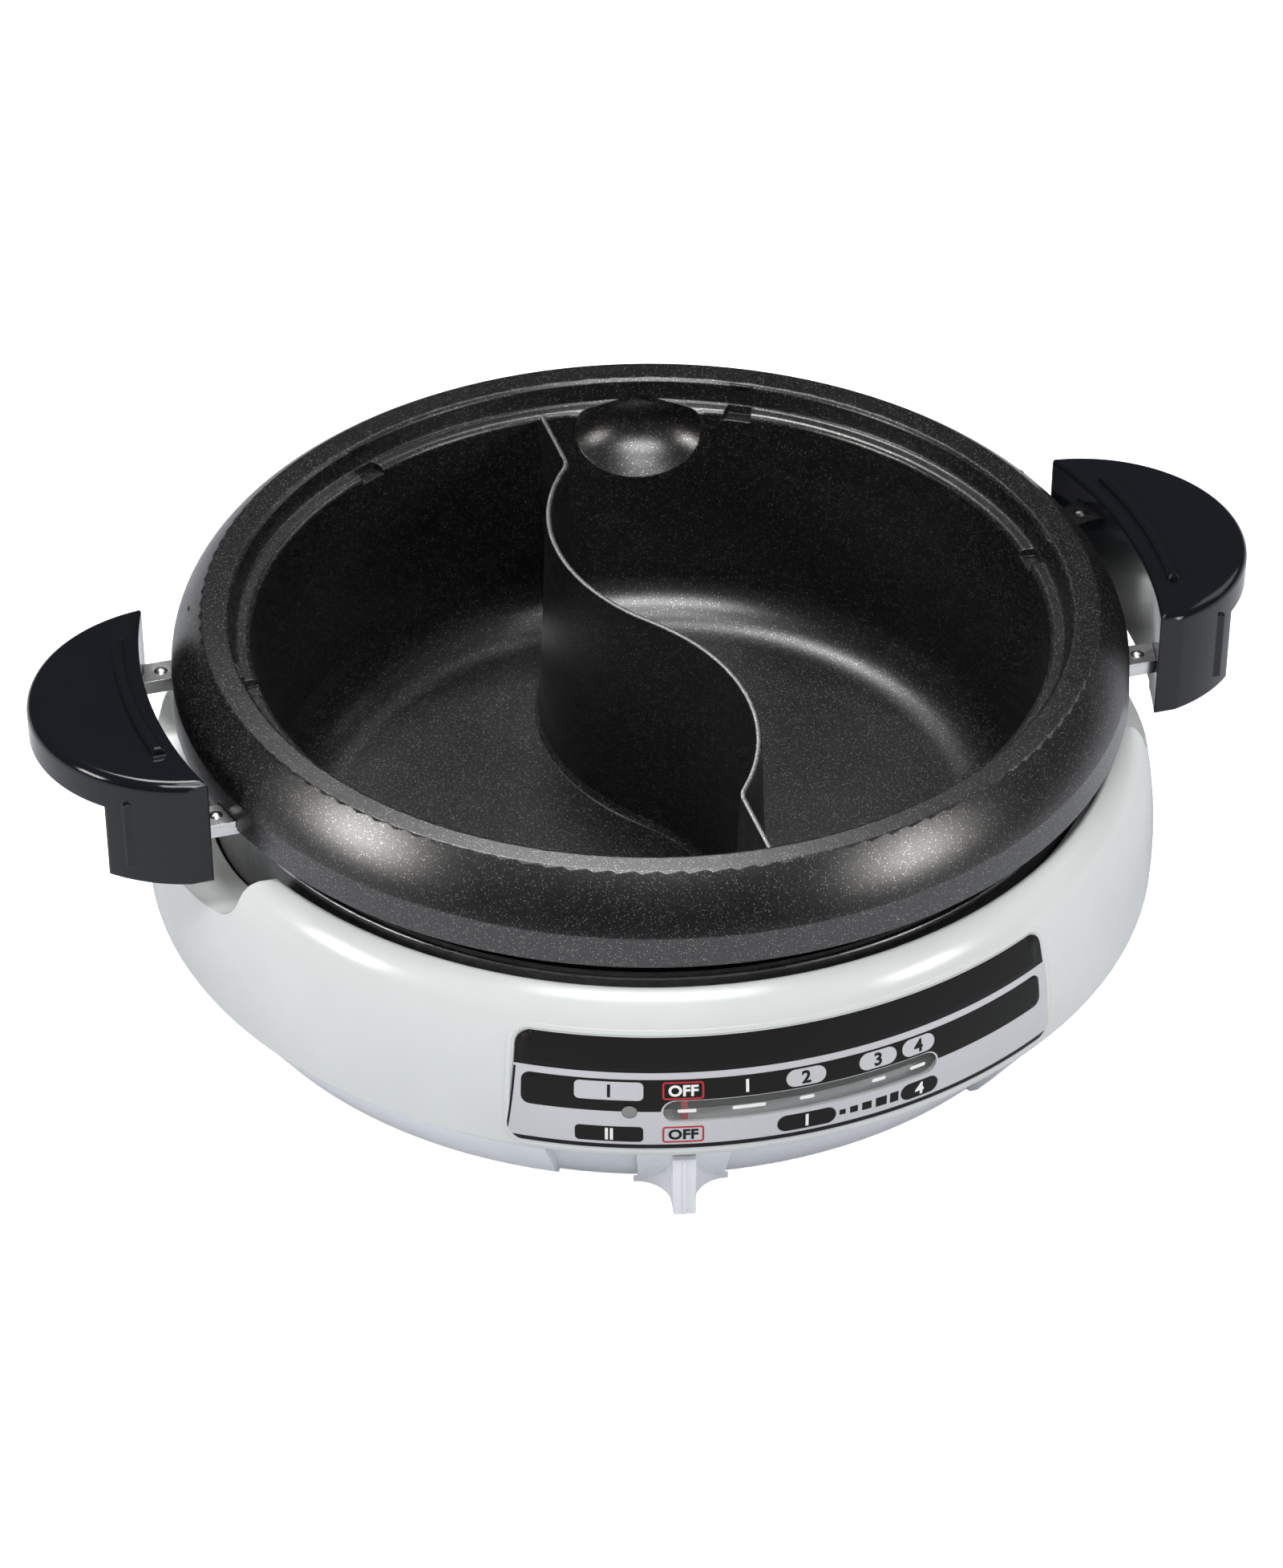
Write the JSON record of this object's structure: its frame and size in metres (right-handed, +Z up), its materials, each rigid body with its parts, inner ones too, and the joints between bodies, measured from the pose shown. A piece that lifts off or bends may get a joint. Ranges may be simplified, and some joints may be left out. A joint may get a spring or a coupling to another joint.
{
  "type": "electric hot pot",
  "caption": "Round electric hot pot: a lift-off dark pan with an S-shaped divider and side handles in a pale base with a curved control panel and a sliding heat lever.",
  "frame": {"origin": "on the table, under the centre of the base", "axes": "+X through the right handle, -Y towards the control panel, +Z up"},
  "size_m": [0.478, 0.3917, 0.145],
  "materials": {
    "pan_coating": "cast aluminium under a charcoal non-stick coating with fine speckle",
    "handle_black": "polished black phenolic",
    "bracket_steel": "brushed",
    "fastener_steel": "bright zinc plate",
    "housing_white": "glossy off-white",
    "cover_white": "semi-gloss cool white",
    "panel_silver": "silver film with black bands",
    "window_clear": "clear, slightly grey",
    "lamp_smoke": "smoked",
    "neon_glass": "clear orange",
    "guard_grey": "heat-proof satin grey",
    "reflector_bright": "bright rolled",
    "heater_sheath": "oxidised sheath",
    "ceramic_cream": "unglazed",
    "spring_steel": "drawn wire",
    "sensor_bright": "turned",
    "shaft_brass": "turned",
    "lever_white": "semi-gloss",
    "flag_red": "signal red",
    "inlet_black": "moulded",
    "pin_metal": "nickelled brass",
    "foot_rubber": "moulded rubber"
  },
  "bodies": {
    "base": {"base_housing": "housing_white", "bottom_cover": "cover_white", "control_panel": "panel_silver", "slot_window": "window_clear", "lamp_lens": "lamp_smoke", "neon_lamp": "neon_glass", "heat_guard": "guard_grey", "reflector_plate": "reflector_bright", "heater_element": "heater_sheath", "heater_clips": "bracket_steel", "pan_rests": "bracket_steel", "thermostat_body": "ceramic_cream", "sensor_sleeve": "fastener_steel", "sensor_spring": "spring_steel", "power_inlet": "inlet_black", "inlet_pins": "pin_metal", "terminal_block": "ceramic_cream", "rubber_feet": "foot_rubber", "cover_screws": "fastener_steel", "reflector_screws": "fastener_steel"},
    "lift_off_pan": {"pan": "pan_coating", "handle_left": "handle_black", "handle_right": "handle_black", "handle_brackets": "bracket_steel", "handle_straps": "bracket_steel", "bracket_rivets": "fastener_steel", "handle_screws": "fastener_steel"},
    "sensor": {"sensor_cap": "sensor_bright"},
    "lever": {"control_lever": "lever_white", "pointer_flag": "flag_red", "lever_arm": "bracket_steel", "thermostat_shaft": "shaft_brass"}
  },
  "joints": [
    {"name": "pan_lift", "type": "slide", "parent": "base", "child": "lift_off_pan", "axis": [0, 0, 1], "range_m": [0, 0.12]},
    {"name": "lever_turn", "type": "hinge", "parent": "base", "child": "lever", "pos_m": [0, 0, 0.03], "axis": [0, 0, 1], "range_deg": [0, 25.9]},
    {"name": "sensor_press", "type": "slide", "parent": "base", "child": "sensor", "axis": [0, 0, 1], "range_m": [-0.003, 0], "stiffness_N_per_m": 400, "springref_m": 0.001, "deforming": ["sensor_spring"]}
  ]
}
